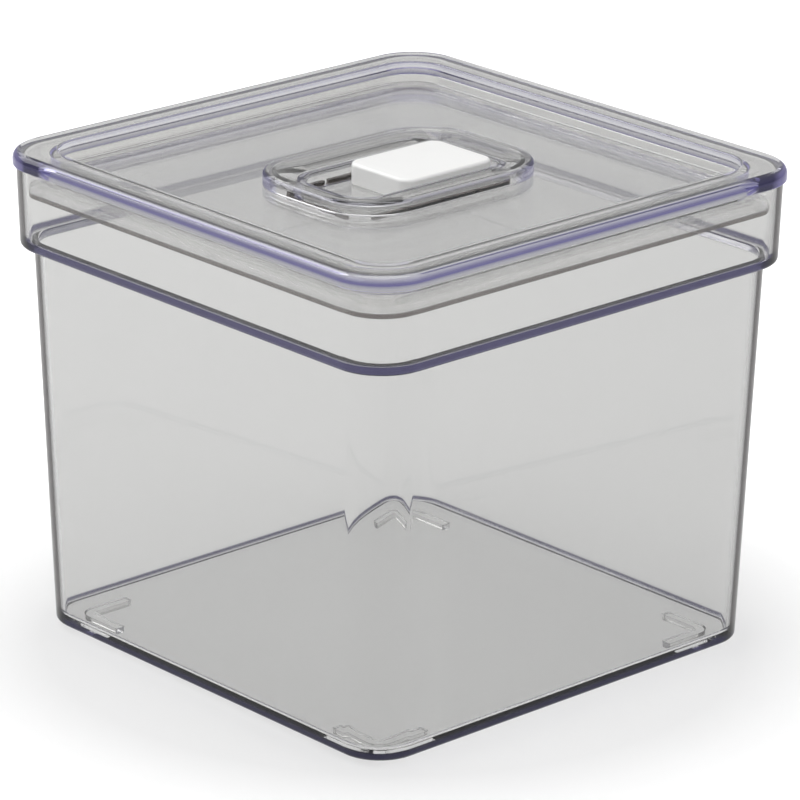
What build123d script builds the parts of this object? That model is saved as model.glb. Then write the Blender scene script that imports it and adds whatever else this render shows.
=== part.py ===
from build123d import *
import math
import os

# A clear square storage box with an airtight lid. All sizes are in millimetres and Z is up.
# The feet stand on z = 0 and the Z axis runs through the middle of the box.
# The lid's lever points along -X and turns about a pin that lies along Y.

# The plan of the box follows from the side of its lid: each step inwards is named
lid_side = 160.0
lid_overhang = 1.15
collar_flare = 1.1
collar_step = 3.2
body_flare = 6.4
foot_inset = 8.9
collar_corner = 14.3
lid_corner_step = 1.5
body_corner_step = 1.6

# The open box: a body that widens upwards, with a wider collar on top
foot_height = 2.0
body_height = 111.3
collar_height = 23.5
wall = 2.4
floor_thickness = 2.4
shelf_thickness = 2.4
base_round = 1.2
floor_round = 2.0
collar_round = 1.5
shelf_round = 0.9
mouth_round = 0.5

# The feet: four low corner ribs under the base
foot_arm = 17.0
foot_width = 3.0
foot_corner = 4.5
foot_round = 0.4

# The lid's cover: a thick rim round a sunk plate
rim_thickness = 4.2
rim_width = 10.3
recess_depth = 6.2
recess_corner = 11.5
cover_thickness = 2.0
leg_wall = 2.2
rim_outer_round = 2.4
rim_inner_round = 0.7
rim_foot_round = 0.4
recess_round = 0.9

# The seal and the plate that squeezes it
gasket_height = 6.7
gasket_round = 1.2
gasket_to_bore = 0.3
gasket_to_leg = 0.25
press_thickness = 1.6
press_margin = 0.6
press_round = 0.4
keeper_wall = 1.6
keeper_gap = 0.5
drop = 1.6

# The handle well: a raised bezel with a tub that hangs through the cover
bezel_length = 73.0
bezel_width = 53.0
bezel_corner = 18.0
bezel_height = 3.9
bezel_wall = 2.0
bezel_thickness = 1.4
bezel_round = 1.5
dish_depth = 2.0
dish_margin = 2.2
well_inset_along = 8.0
well_inset_across = 10.7
well_corner = 9.5
heel_corner = 5.0
well_wall = 2.0
well_floor_thickness = 1.6
well_rim_round = 0.5
well_foot_round = 0.8
well_to_press = 0.3

# The guide tabs that stand on the press plate round the tub
tab_gap = 1.5
tab_end_inset = 3.75
tab_height = 2.8
tab_wall = 1.4
tab_clearance = 0.3
tabs_along = 4
tabs_across = 2

# The post, its socket and the pin
pin_to_wall = 3.2
pin_diameter = 1.6
pin_inset = 0.2
pin_chamfer = 0.2
pin_running_clearance = 0.05
pin_seated_clearance = 0.02
post_depth = 3.4
post_width = 6.0
post_clearance = 0.3
socket_depth = 4.0
socket_wall = 1.5
socket_floor = 1.4

# The flip lever, measured from its pin
finger_space = 18.0
lever_side_gap = 1.3
lever_corner = 4.0
lever_above_pin = 2.8
lever_round = 1.0
pin_height = 3.4
cam_clearance = 0.06
underside_clearance = 0.25
cam_ramp = 2.0
lever_skin = 1.6
lever_rib = 1.6
pocket_to_pin = 4.5
scoop_radius = 5.1
scoop_wall = 2.4
slot_clearance = 0.4

# Gaps between pieces that rest on one another, and the overrun of cuts
resting_gap = 0.1
seat_gap = 0.05
overrun = 1.0
tolerance = 0.01

# Levels of the open box
base_z = foot_height
floor_z = base_z + floor_thickness
collar_z = base_z + body_height
shelf_z = collar_z + shelf_thickness
mouth_z = collar_z + collar_height

# Levels of the lid and of the mechanism
rim_z = mouth_z + resting_gap
lid_top_z = rim_z + rim_thickness
cover_z = lid_top_z - recess_depth
cover_foot_z = cover_z - cover_thickness
press_z = rim_z - gasket_height - 2 * seat_gap
press_foot_z = press_z - press_thickness
bezel_foot_z = cover_z + seat_gap
bezel_top_z = cover_z + bezel_height
well_rim_z = bezel_top_z - dish_depth
bezel_ceiling_z = well_rim_z - bezel_thickness
well_foot_z = press_z + well_to_press
well_floor_z = well_foot_z + well_floor_thickness
pin_z = well_floor_z + pin_height
lever_top_z = pin_z + lever_above_pin
socket_z = press_z - socket_depth
boss_foot_z = socket_z - socket_floor

# Sides and corners of the open box, from the lid inwards
mouth_side = lid_side - 2 * lid_overhang
collar_side = mouth_side - collar_flare
neck_side = collar_side - 2 * collar_step
base_side = neck_side - body_flare
foot_square = base_side - 2 * foot_inset
lid_corner = collar_corner + lid_corner_step
body_corner = collar_corner - body_corner_step

# The walls widen by this much for each millimetre of height
body_draft = body_flare / body_height
collar_draft = collar_flare / collar_height


def collar_bore_at(level):
    """Side of the square bore of the collar at one height."""
    return collar_side + collar_draft * (level - collar_z) - 2 * wall


# Sides and corners of the pieces in the lid
recess_side = lid_side - 2 * rim_width
leg_side = recess_side + 2 * leg_wall
gasket_side = collar_bore_at(press_z) - 2 * gasket_to_bore
gasket_corner = collar_corner - wall - gasket_to_bore
gasket_bore = leg_side + 2 * gasket_to_leg
gasket_width = (gasket_side - gasket_bore) / 2
press_side = gasket_side - 2 * press_margin
press_corner = gasket_corner - press_margin
keeper_side = gasket_bore - 2 * gasket_to_leg
keeper_corner = gasket_corner - gasket_width - gasket_to_leg
well_length = bezel_length - 2 * well_inset_along
well_width = bezel_width - 2 * well_inset_across
opening_length = bezel_length - 2 * bezel_wall
opening_width = bezel_width - 2 * bezel_wall
opening_corner = bezel_corner - bezel_wall
bore_length = well_length - 2 * well_wall
bore_width = well_width - 2 * well_wall
tab_pitch = (well_length - 2 * tab_end_inset + tab_gap) / tabs_along
tab_length = tab_pitch - tab_gap
pin_x = bore_length / 2 - pin_to_wall
pin_radius = pin_diameter / 2
lever_width = bore_width - 2 * lever_side_gap
pin_length = lever_width - 2 * pin_inset

os.makedirs("parts", exist_ok=True)


def face_at(solid, level):
    """The level face of a solid at one height."""
    level_faces = solid.faces().filter_by(Axis.Z)
    return level_faces.filter_by_position(Axis.Z, level - tolerance, level + tolerance)[0]


# The open box: drafted walls, a collar that stands out all round, and the space inside both
with BuildPart() as container_body:
    with BuildSketch(Plane.XY.offset(base_z)):
        RectangleRounded(base_side, base_side, body_corner)
    with BuildSketch(Plane.XY.offset(collar_z)):
        RectangleRounded(neck_side, neck_side, body_corner)
    loft(ruled=True)
    with BuildSketch(Plane.XY.offset(collar_z)):
        RectangleRounded(collar_side, collar_side, collar_corner)
    with BuildSketch(Plane.XY.offset(mouth_z)):
        RectangleRounded(mouth_side, mouth_side, collar_corner)
    loft(ruled=True)
    fillet(face_at(container_body, base_z).outer_wire().edges(), base_round)
    fillet(face_at(container_body, collar_z).outer_wire().edges(), collar_round)

    # The storage space and, above its shelf, the wider space that takes the lid's seal
    floor_bore = base_side + body_draft * floor_thickness - 2 * wall
    shelf_bore = neck_side + body_draft * shelf_thickness - 2 * wall
    with BuildSketch(Plane.XY.offset(floor_z)):
        RectangleRounded(floor_bore, floor_bore, body_corner - wall)
    with BuildSketch(Plane.XY.offset(shelf_z)):
        RectangleRounded(shelf_bore, shelf_bore, body_corner - wall)
    loft(ruled=True, mode=Mode.SUBTRACT)
    with BuildSketch(Plane.XY.offset(shelf_z)):
        RectangleRounded(collar_bore_at(shelf_z), collar_bore_at(shelf_z), collar_corner - wall)
    with BuildSketch(Plane.XY.offset(mouth_z)):
        RectangleRounded(collar_bore_at(mouth_z), collar_bore_at(mouth_z), collar_corner - wall)
    loft(ruled=True, mode=Mode.SUBTRACT)
    fillet(face_at(container_body, floor_z).outer_wire().edges(), floor_round)
    fillet(face_at(container_body, shelf_z).edges(), shelf_round)
    fillet(face_at(container_body, mouth_z).edges(), mouth_round)

    # A corner rib under each corner of the base
    foot_middle = (foot_square - foot_arm) / 2
    with BuildSketch(Plane.XY):
        with GridLocations(2 * foot_middle, 2 * foot_middle, 2, 2):
            Rectangle(foot_arm, foot_arm)
        RectangleRounded(foot_square, foot_square, foot_corner, mode=Mode.INTERSECT)
        inner_square = foot_square - 2 * foot_width
        RectangleRounded(inner_square, inner_square, foot_corner - foot_width, mode=Mode.SUBTRACT)
    extrude(amount=base_z)
    fillet(container_body.faces().filter_by_position(Axis.Z, -tolerance, tolerance).edges(), foot_round)
container_body.part.label = "container_body"
export_step(container_body.part, "parts/container_body.step")

# The lid's cover: a thick rim, a sunk plate and a leg that reaches into the collar
with BuildPart() as lid_cover:
    with BuildSketch(Plane.XY.offset(rim_z)):
        RectangleRounded(lid_side, lid_side, lid_corner)
    extrude(amount=rim_thickness)
    with BuildSketch(Plane.XY.offset(cover_foot_z)):
        RectangleRounded(leg_side, leg_side, recess_corner + leg_wall)
    extrude(amount=rim_z - cover_foot_z)
    fillet(face_at(lid_cover, cover_foot_z).outer_wire().edges(), recess_round)
    with BuildSketch(Plane.XY.offset(cover_z)):
        RectangleRounded(recess_side, recess_side, recess_corner)
    extrude(amount=recess_depth, mode=Mode.SUBTRACT)
    fillet(face_at(lid_cover, cover_z).outer_wire().edges(), recess_round)
    fillet(face_at(lid_cover, lid_top_z).outer_wire().edges(), rim_outer_round)
    fillet(face_at(lid_cover, lid_top_z).inner_wires()[0].edges(), rim_inner_round)
    fillet(face_at(lid_cover, rim_z).outer_wire().edges(), rim_foot_round)

    # The opening that the handle well closes
    with BuildSketch(Plane.XY.offset(cover_foot_z)):
        RectangleRounded(opening_length, opening_width, opening_corner)
    extrude(amount=cover_thickness, mode=Mode.SUBTRACT)
lid_cover.part.label = "lid_cover"
export_step(lid_cover.part, "parts/lid_cover.step")


def tub_plan(length, width, inset):
    """Plan of the tub's outside, or of its bore when inset by the wall.

    The corners at the lever's heel are tighter, so the lever can swing up between them.
    """
    with BuildSketch() as plan:
        Rectangle(length, width)
        fillet(plan.vertices().group_by(Axis.X)[0], well_corner - inset)
        fillet(plan.vertices().group_by(Axis.X)[-1], heel_corner - inset)
    return plan.sketch


# The handle well: a bezel that stands on the cover, dished towards the tub that hangs in it
with BuildPart() as handle_well:
    with BuildSketch(Plane.XY.offset(bezel_foot_z)):
        RectangleRounded(bezel_length, bezel_width, bezel_corner)
    extrude(amount=bezel_top_z - bezel_foot_z)
    fillet(face_at(handle_well, bezel_top_z).outer_wire().edges(), bezel_round)
    dish_length = bezel_length - 2 * (bezel_round + dish_margin)
    dish_width = bezel_width - 2 * (bezel_round + dish_margin)
    dish_corner = bezel_corner - bezel_round - dish_margin
    with BuildSketch(Plane.XY.offset(well_rim_z)):
        add(tub_plan(well_length, well_width, 0))
    with BuildSketch(Plane.XY.offset(bezel_top_z)):
        RectangleRounded(dish_length, dish_width, dish_corner)
    loft(ruled=True, mode=Mode.SUBTRACT)
    with BuildSketch(Plane.XY.offset(bezel_foot_z)):
        RectangleRounded(opening_length, opening_width, opening_corner)
    extrude(amount=bezel_ceiling_z - bezel_foot_z, mode=Mode.SUBTRACT)

    # The tub, with a slot in its floor for the post
    with BuildSketch(Plane.XY.offset(well_foot_z)):
        add(tub_plan(well_length, well_width, 0))
    extrude(amount=well_rim_z - well_foot_z)
    fillet(face_at(handle_well, well_foot_z).outer_wire().edges(), well_foot_round)
    with BuildSketch(Plane.XY.offset(well_floor_z)):
        add(tub_plan(bore_length, bore_width, well_wall))
    extrude(amount=well_rim_z - well_floor_z, mode=Mode.SUBTRACT)
    fillet(face_at(handle_well, well_rim_z).inner_wires()[0].edges(), well_rim_round)
    with BuildSketch(Plane.XY.offset(well_foot_z)):
        with Locations((pin_x, 0)):
            Rectangle(post_depth + 2 * post_clearance, post_width + 2 * post_clearance)
    extrude(amount=well_floor_thickness, mode=Mode.SUBTRACT)
handle_well.part.label = "handle_well"
export_step(handle_well.part, "parts/handle_well.step")

# The press plate: it squeezes the gasket, and carries the post in a blind socket
with BuildPart() as press_plate:
    with BuildSketch(Plane.XY.offset(press_foot_z)):
        RectangleRounded(press_side, press_side, press_corner)
    extrude(amount=press_thickness)
    fillet(face_at(press_plate, press_z).outer_wire().edges(), press_round)
    fillet(face_at(press_plate, press_foot_z).outer_wire().edges(), press_round)
    with BuildSketch(Plane.XY.offset(press_z)):
        RectangleRounded(keeper_side, keeper_side, keeper_corner)
        keeper_bore = keeper_side - 2 * keeper_wall
        RectangleRounded(keeper_bore, keeper_bore, keeper_corner - keeper_wall, mode=Mode.SUBTRACT)
    extrude(amount=cover_foot_z - keeper_gap - press_z)

    # Rows of tabs that keep the plate square under the tub
    tab_row_y = well_width / 2 + tab_clearance + tab_wall / 2
    tab_row_x = well_length / 2 + tab_clearance + tab_wall / 2
    with BuildSketch(Plane.XY.offset(press_z)):
        with GridLocations(tab_pitch, 2 * tab_row_y, tabs_along, 2):
            Rectangle(tab_length, tab_wall)
        with GridLocations(2 * tab_row_x, tab_pitch, 2, tabs_across):
            Rectangle(tab_wall, tab_length)
    extrude(amount=tab_height)

    # The boss under the plate and the socket in it
    with BuildSketch(Plane.XY.offset(boss_foot_z)):
        with Locations((pin_x, 0)):
            Rectangle(post_depth + 2 * socket_wall, post_width + 2 * socket_wall)
    extrude(amount=press_foot_z - boss_foot_z)
    with BuildSketch(Plane.XY.offset(socket_z)):
        with Locations((pin_x, 0)):
            Rectangle(post_depth + 2 * seat_gap, post_width + 2 * seat_gap)
    extrude(amount=socket_depth, mode=Mode.SUBTRACT)
press_plate.part.label = "press_plate"
export_step(press_plate.part, "parts/press_plate.step")

# The gasket: a soft ring between the lid's rim and the edge of the press plate
with BuildPart() as seal_gasket:
    with BuildSketch(Plane.XY.offset(press_z + seat_gap)):
        RectangleRounded(gasket_side, gasket_side, gasket_corner)
        RectangleRounded(gasket_bore, gasket_bore, gasket_corner - gasket_width, mode=Mode.SUBTRACT)
    extrude(amount=gasket_height)
    fillet(seal_gasket.faces().sort_by(Axis.Z)[0].outer_wire().edges(), gasket_round)
    fillet(seal_gasket.faces().sort_by(Axis.Z)[-1].outer_wire().edges(), gasket_round)
seal_gasket.part.label = "seal_gasket"
export_step(seal_gasket.part, "parts/seal_gasket.step")

# The post: a slab with a round head that holds the pin
hinge_plane = Plane(origin=(pin_x, 0, pin_z), x_dir=(1, 0, 0), z_dir=(0, -1, 0))
post_foot = socket_z + seat_gap - pin_z
with BuildPart() as pull_post:
    with BuildSketch(hinge_plane):
        Circle(post_depth / 2)
        with Locations((0, post_foot / 2)):
            Rectangle(post_depth, -post_foot)
        Circle(pin_radius + pin_seated_clearance, mode=Mode.SUBTRACT)
    extrude(amount=post_width / 2, both=True)
pull_post.part.label = "pull_post"
export_step(pull_post.part, "parts/pull_post.step")

# The pin: a short steel rod
with BuildPart() as hinge_pin:
    with BuildSketch(hinge_plane):
        Circle(pin_radius)
    extrude(amount=pin_length / 2, both=True)
    chamfer(hinge_pin.edges().filter_by(GeomType.CIRCLE), pin_chamfer)
hinge_pin.part.label = "hinge_pin"
export_step(hinge_pin.part, "parts/hinge_pin.step")


def cam_point(angle):
    """Point of the cam that rests on the well's floor when the lever stands at an angle in degrees.

    The cam's reach below the pin shrinks evenly with the angle, so the plate drops evenly too.
    """
    fall = drop / math.radians(90)
    turn = math.radians(angle)
    height = pin_height - cam_clearance - fall * turn
    return (height * math.sin(turn) - fall * math.cos(turn), -height * math.cos(turn) - fall * math.sin(turn))


# The flip lever: a hollow cap with a cam at its heel and a finger scoop at its free end
with BuildPart() as flip_lever:
    cam_start = cam_point(0)
    cam_end = cam_point(90)
    underside = underside_clearance - pin_height
    free_end = finger_space - bore_length / 2 - pin_x
    lever_length = cam_end[0] - free_end
    with BuildSketch(hinge_plane):
        with BuildLine():
            Spline([cam_point(angle) for angle in range(0, 91, 15)], tangents=[(1, 0), (0, 1)])
            Polyline(
                cam_end,
                (cam_end[0], lever_above_pin),
                (free_end, lever_above_pin),
                (free_end, underside),
                (cam_start[0] - cam_ramp, underside),
                cam_start,
            )
        make_face()
    extrude(amount=lever_width / 2, both=True)
    lever_middle = pin_x + cam_end[0] - lever_length / 2
    with BuildSketch(Plane.XY.offset(well_floor_z)):
        with Locations((lever_middle, 0)):
            RectangleRounded(lever_length, lever_width, lever_corner)
    extrude(amount=lever_top_z - well_floor_z, mode=Mode.INTERSECT)
    fillet(face_at(flip_lever, lever_top_z).outer_wire().edges(), lever_round)

    # The finger scoop, a quarter ball in the foot of the free end
    with Locations((pin_x + free_end, 0, pin_z + underside)):
        Sphere(scoop_radius, mode=Mode.SUBTRACT)

    # Two pockets under the cap with a rib between them
    pocket_width = (lever_width - lever_rib) / 2 - lever_skin
    pocket_length = -pocket_to_pin - (free_end + scoop_radius + scoop_wall)
    with BuildSketch(Plane.XY.offset(well_floor_z)):
        with Locations((pin_x - pocket_to_pin - pocket_length / 2, 0)):
            with GridLocations(0, pocket_width + lever_rib, 1, 2):
                Rectangle(pocket_length, pocket_width)
    extrude(amount=lever_top_z - lever_skin - well_floor_z, mode=Mode.SUBTRACT)

    # The slot for the post, open below and at the heel, and the hole for the pin
    slot_half = post_depth / 2 + slot_clearance
    with BuildSketch(hinge_plane):
        slot_length = slot_half + cam_end[0] + overrun
        slot_height = slot_half + pin_height
        with Locations((slot_length / 2 - slot_half, slot_half - slot_height / 2)):
            Rectangle(slot_length, slot_height)
    extrude(amount=post_width / 2 + slot_clearance, both=True, mode=Mode.SUBTRACT)
    with BuildSketch(hinge_plane):
        Circle(pin_radius + pin_running_clearance)
    extrude(amount=lever_width, both=True, mode=Mode.SUBTRACT)
flip_lever.part.label = "flip_lever"
export_step(flip_lever.part, "parts/flip_lever.step")
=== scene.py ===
# %% [markdown]
# A clear storage box with an airtight lid
#
# The box, its lid and the works inside the lid are already solids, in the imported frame.
# This lesson gives each of them the surface that the moulded piece has: softened edges,
# true glassy normals, and a finish. The frame is in metres and stays as it is. The new
# pieces are drawn in millimetres and made metres at the end, and each of them stands in
# for one of the frame's nodes.

# %% The frame
import math

import bmesh
import bpy
import numpy as np
from mathutils import Matrix, Vector
from mathutils.geometry import delaunay_2d_cdt


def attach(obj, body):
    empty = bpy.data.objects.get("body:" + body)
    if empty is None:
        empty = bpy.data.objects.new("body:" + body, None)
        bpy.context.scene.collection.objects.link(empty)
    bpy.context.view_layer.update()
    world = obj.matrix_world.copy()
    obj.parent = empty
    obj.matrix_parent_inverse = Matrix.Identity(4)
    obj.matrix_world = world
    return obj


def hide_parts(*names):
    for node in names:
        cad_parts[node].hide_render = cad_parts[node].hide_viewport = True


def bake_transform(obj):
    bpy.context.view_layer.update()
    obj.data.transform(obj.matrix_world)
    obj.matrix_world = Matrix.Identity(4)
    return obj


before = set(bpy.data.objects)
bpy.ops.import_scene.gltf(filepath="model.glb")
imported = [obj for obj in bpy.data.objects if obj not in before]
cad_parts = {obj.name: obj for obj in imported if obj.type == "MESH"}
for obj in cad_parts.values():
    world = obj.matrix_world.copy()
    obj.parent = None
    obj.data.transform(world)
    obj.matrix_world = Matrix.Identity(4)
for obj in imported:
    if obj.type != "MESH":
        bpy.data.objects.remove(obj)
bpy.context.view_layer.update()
mm = 0.001
print("frame nodes:", ", ".join(sorted(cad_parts)))

# %% [markdown]
# Outlines
#
# Every moulded piece here is a level outline with round corners, carried up and down a
# profile. One station of a profile is therefore a list of corners, and each corner holds
# four numbers: x, y, the radius of its arc, and z. A corner that bends inwards, as in an
# L-shaped foot, has a negative radius. With that sign, a station grows or shrinks evenly
# when its corners move out and the same distance is added to every radius.

# %% Stations
def station(corners, radii, z):
    """Rows of x, y, arc radius and height, one row for each corner, counterclockwise, in millimetres."""
    corners = np.asarray(corners, float)
    count = len(corners)
    return np.column_stack([corners, np.broadcast_to(radii, count), np.full(count, float(z))])


def rectangle(z, half_x, half_y, radius, middle=(0.0, 0.0)):
    """Station of a rectangle: the four sign pairs times the half sides, moved to its middle."""
    signs = np.array([(1, -1), (1, 1), (-1, 1), (-1, -1)])
    return station(signs * (half_x, half_y) + middle, radius, z)


def square(z, half, radius):
    """Station of a square about the Z axis."""
    return rectangle(z, half, half, radius)


def outward(at):
    """Unit vectors square to the sides that enter and leave each corner, turned to the outside."""
    leave = np.roll(at[:, :2], -1, axis=0) - at[:, :2]
    leave /= np.linalg.norm(leave, axis=1, keepdims=True)
    leave = np.column_stack([leave[:, 1], -leave[:, 0]])
    return np.roll(leave, 1, axis=0), leave


def mitre(at):
    """How far each corner moves when every side moves out by one.

    It is the sum of the two sides' normals, over 1 plus their dot product.
    """
    enter, leave = outward(at)
    return (enter + leave) / (1 + (enter * leave).sum(axis=1, keepdims=True))


def grown(at, by, z=None):
    """The station with all its sides moved out by a distance, at its own height or another."""
    out = at.copy()
    out[:, :2] += by * mitre(at)
    out[:, 2] += by
    if z is not None:
        out[:, 3] = z
    return out


print("a square of 10 grown by 1 has corners at", grown(square(0, 5, 1), 1)[1, :3])

# %% [markdown]
# Profiles with soft edges
#
# A mould is cut with rounded tools, so no edge of the real piece is sharp, and on clear
# plastic each little round is what catches the light. A bevel modifier could round them,
# but its normals are only close to right, and glass shows the error as ripples. Here each
# sharp turn of a profile is replaced with an arc before the surface is made, so that both
# the places and the slopes are exact.

# %% Arcs in a profile
def softened(stations, radii, painted_edges, closed=False, bends=6):
    """Stations, slopes and painted-edge weights along a profile, with an arc in place of each turn.

    An arc between directions u and w, which turn by an angle T, starts R * tan(T / 2) before the
    turn. After an angle t it has gone R * sin(t) along u and R * (1 - cos(t)) square to u.
    Its weight for the painted edge shade rises and falls as the sine of half a turn, and stays up on the
    side of a neighbour that has such a weight too.
    """
    stations = np.array(stations, float)
    count = len(stations)
    steps = np.roll(stations, -1, axis=0) - stations
    sideways = np.abs(steps[:, :, :2]).max(axis=(1, 2), keepdims=True)
    steps /= np.hypot(sideways, steps[:, :1, 3:])
    places, slopes, weights = [], [], []
    for i in range(count):
        before, after = steps[i - 1], steps[i]
        if not closed and i in (0, count - 1):
            before = after = steps[min(i, count - 2)]
        turn = math.acos(min(1.0, float(before[0, [0, 3]] @ after[0, [0, 3]])))
        if radii[i] == 0:
            places.append(stations[i])
            slopes.append(before + after)
            weights.append(painted_edges[i])
            continue
        t = np.linspace(0, turn, bends + 1)[:, None, None]
        square_on = (after - before * math.cos(turn)) / math.sin(turn)
        start = stations[i] - before * radii[i] * math.tan(turn / 2)
        places.extend(start + radii[i] * (np.sin(t) * before + (1 - np.cos(t)) * square_on))
        slopes.extend(np.cos(t) * before + np.sin(t) * square_on)
        rise = 0.5 if painted_edges[i - 1] else 0.0
        fall = 0.5 if painted_edges[(i + 1) % count] else 1.0
        weights.extend(painted_edges[i] * np.sin(math.pi * np.linspace(rise, fall, bends + 1)))
    return np.array(places), np.array(slopes), np.array(weights)


sharp_step = [square(0, 5, 1), square(4, 5, 1), square(4, 3, 1)]
soft_step = softened(sharp_step, [0, 1, 0], [0, 1, 0])[0]
print("a soft turn has", len(soft_step), "stations, at heights", soft_step[:, 0, 3].round(2))

# %% [markdown]
# Carrying the outline along the profile
#
# A point of the outline's arc sits at the corner plus its radius times (n - m), where n is
# the arc's normal there and m the corner's mitre. The point's slope along the profile is
# the same sum with the station's slope in place of the station. The cross product of the
# two directions in the surface is its exact normal.

# %% Surfaces
def carried(stations, radii, painted_edges=None, closed=False, bends=6, arc=10):
    """Grid of points, normals and painted-edge weights: the outline's angle runs one way and the profile
    the other.

    A bend is cut into the given number of steps, and so is an arc of the outline.
    """
    places, slopes, weights = softened(stations, radii, painted_edges or [0] * len(stations), closed, bends)
    enter, leave = outward(places[0])
    first = np.arctan2(enter[:, 1], enter[:, 0])
    turn = np.arctan2(enter[:, 0] * leave[:, 1] - enter[:, 1] * leave[:, 0], (enter * leave).sum(axis=1))
    angle = first[:, None] + turn[:, None] * np.linspace(0, 1, arc + 1)
    n = np.stack([np.cos(angle), np.sin(angle)], axis=-1)
    reach = n - mitre(places[0])[:, None, :]

    def spread(rows):
        flat = rows[:, :, None, :2] + rows[:, :, None, 2:3] * reach
        height = np.broadcast_to(rows[:, :, None, 3:], flat.shape[:3] + (1,))
        return np.concatenate([flat, height], axis=-1).reshape(len(rows), -1, 3)

    points, along = spread(places), spread(slopes)
    round_way = np.concatenate([-n[..., 1:], n[..., :1], 0 * n[..., :1]], axis=-1).reshape(1, -1, 3)
    normals = np.cross(np.broadcast_to(round_way, along.shape), along)
    normals /= np.linalg.norm(normals, axis=-1, keepdims=True)
    corner = np.broadcast_to(np.sin(math.pi * np.linspace(0, 1, arc + 1)), n.shape[:2]).reshape(1, -1)
    bends_at = np.stack(np.broadcast_arrays(weights[:, None], corner), axis=-1)
    return points, normals, bends_at, closed


tube = carried([square(0, 5, 1), square(4, 5, 1)], [0, 0])[0]
print("a plain tube is a grid of", tube.shape[0], "by", tube.shape[1], "points")

# %% [markdown]
# Cells and flat sheets
#
# The points of a surface lie on a grid, so four neighbours make each of its cells. What a
# profile leaves open, such as the underside with the feet, is a flat sheet with holes. One
# many-sided face could fill it, but it would be left to chance how that face is cut up.
# Here the sheet is filled with triangles that keep to all its outlines.

# %% Cells and flat sheets
def quads(rows, columns, closed):
    """Point numbers of each cell's four corners.

    The grid always closes round the outline, and round the profile too where closed is true.
    """
    cell = np.arange(rows * columns).reshape(rows, columns)
    up = np.roll(cell, -1, axis=0)
    right = np.roll(cell, -1, axis=1)
    corner = np.roll(up, -1, axis=1)
    faces = np.stack([cell, right, corner, up], axis=-1)
    return (faces if closed else faces[:-1]).reshape(-1, 4)


inside_but_holes, nearness = 2, 1e-6


def flat_sheet(outer, holes=(), up=True):
    """Triangles that fill a level outline round its holes, with every normal straight up or down."""
    loops = [outer, *holes]
    ends = np.cumsum([len(loop) for loop in loops])
    rims = [list(range(end - len(loop), end)) for end, loop in zip(ends, loops)]
    flat = [Vector(p) for p in np.concatenate(loops)[:, :2].tolist()]
    triangles = np.array(delaunay_2d_cdt(flat, [], rims, inside_but_holes, nearness)[2])
    points = np.concatenate(loops)
    normals = np.broadcast_to((0.0, 0.0, 1.0 if up else -1.0), points.shape)
    a, b, c = (points[triangles[:, k], :2] for k in range(3))
    area = (b - a)[:, 0] * (c - a)[:, 1] - (b - a)[:, 1] * (c - a)[:, 0]
    wrong = area < 0 if up else area > 0
    triangles[wrong] = triangles[wrong][:, ::-1]
    return points, normals, np.zeros((len(points), 2)), triangles


print("the sheet over the tube's end has", len(flat_sheet(tube[-1])[3]), "triangles")

# %% [markdown]
# From surfaces to one closed mesh
#
# The surfaces of a piece meet along shared outlines. Points that coincide become one
# vertex, so the piece is a closed shell, which glass needs: light has to enter it and
# leave it again. The worked-out normals are then handed to the mesh as they are. Each point
# also keeps two weights: how far it lies in a bend of the profile, and how far on an upright
# outer corner, which fades where the surface starts to face up or down.

# %% Making a piece
same_place_digits, fade_power, cm3 = 4, 4, 1000


def joined(surfaces, turned):
    """Points, normals, bend weights and triangles of all surfaces, with shared points made one."""
    points, normals, bends, faces, base = [], [], [], [], 0
    for places, slopes, weights, how in surfaces:
        if isinstance(how, bool):
            rows, columns = places.shape[:2]
            cells = quads(rows, columns, how)
            cells = np.column_stack([cells[:, :3], cells[:, [0, 2, 3]]]).reshape(-1, 3)
        else:
            cells = how
        points.append(places.reshape(-1, 3))
        normals.append(slopes.reshape(-1, 3))
        bends.append(weights.reshape(-1, 2))
        faces.append(cells + base)
        base += len(points[-1])
    points, normals, bends, faces = (np.concatenate(rows) for rows in (points, normals, bends, faces))
    if turned is not None:
        points, normals = points @ turned.T, normals @ turned.T
    near = np.round(points, same_place_digits)
    _, kept, same = np.unique(near, axis=0, return_index=True, return_inverse=True)
    faces = same.reshape(-1)[faces]
    whole = (faces != np.roll(faces, 1, axis=1)).all(axis=1)
    return points[kept], normals[kept], bends[kept], faces[whole]


def measure(name, points, faces):
    """Prints a mesh's loose edges and its volume.

    The volume is the sum of the tetrahedra that the triangles make with the origin.
    """
    a, b, c = (points[faces[:, k]] for k in range(3))
    volume = (a * np.cross(b, c)).sum() / 6
    pairs = np.sort(np.concatenate([faces[:, [0, 1]], faces[:, [1, 2]], faces[:, [2, 0]]]), axis=1)
    loose = (np.unique(pairs, axis=0, return_counts=True)[1] != 2).sum()
    print(f"{name}: {len(faces)} triangles, {volume / cm3:.2f} cm3, {loose} loose edges")


def piece(name, surfaces, turned=None):
    """Joins surfaces into one closed mesh object, in metres, with its bend weights as attributes."""
    points, normals, bends, faces = joined(surfaces, turned)
    mesh = bpy.data.meshes.new(name)
    mesh.from_pydata((points * mm).tolist(), [], faces.tolist())
    mesh.shade_smooth()
    mesh.normals_split_custom_set_from_vertices(normals.tolist())
    turned_out = (normals[:, :2] * points[:, :2]).sum(axis=1) > 0
    bends[:, 1] *= turned_out * np.hypot(normals[:, 0], normals[:, 1]) ** fade_power
    # The edge and corner weights say where the clear finishes paint shade and glow.
    for k, kind in enumerate(("edge", "corner")):
        values = mesh.attributes.new(kind, "FLOAT", "POINT").data
        values.foreach_set("value", np.ascontiguousarray(bends[:, k]))
    made = bpy.data.objects.new(name, mesh)
    bpy.context.scene.collection.objects.link(made)
    measure(name, points, faces)
    return made


def stands_for(made, node, body):
    """Puts a finished piece in the place of a frame node, on that node's body."""
    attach(made, body)
    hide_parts(node)
    print(f"{made.name} stands for {node} on the {body}")
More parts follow.
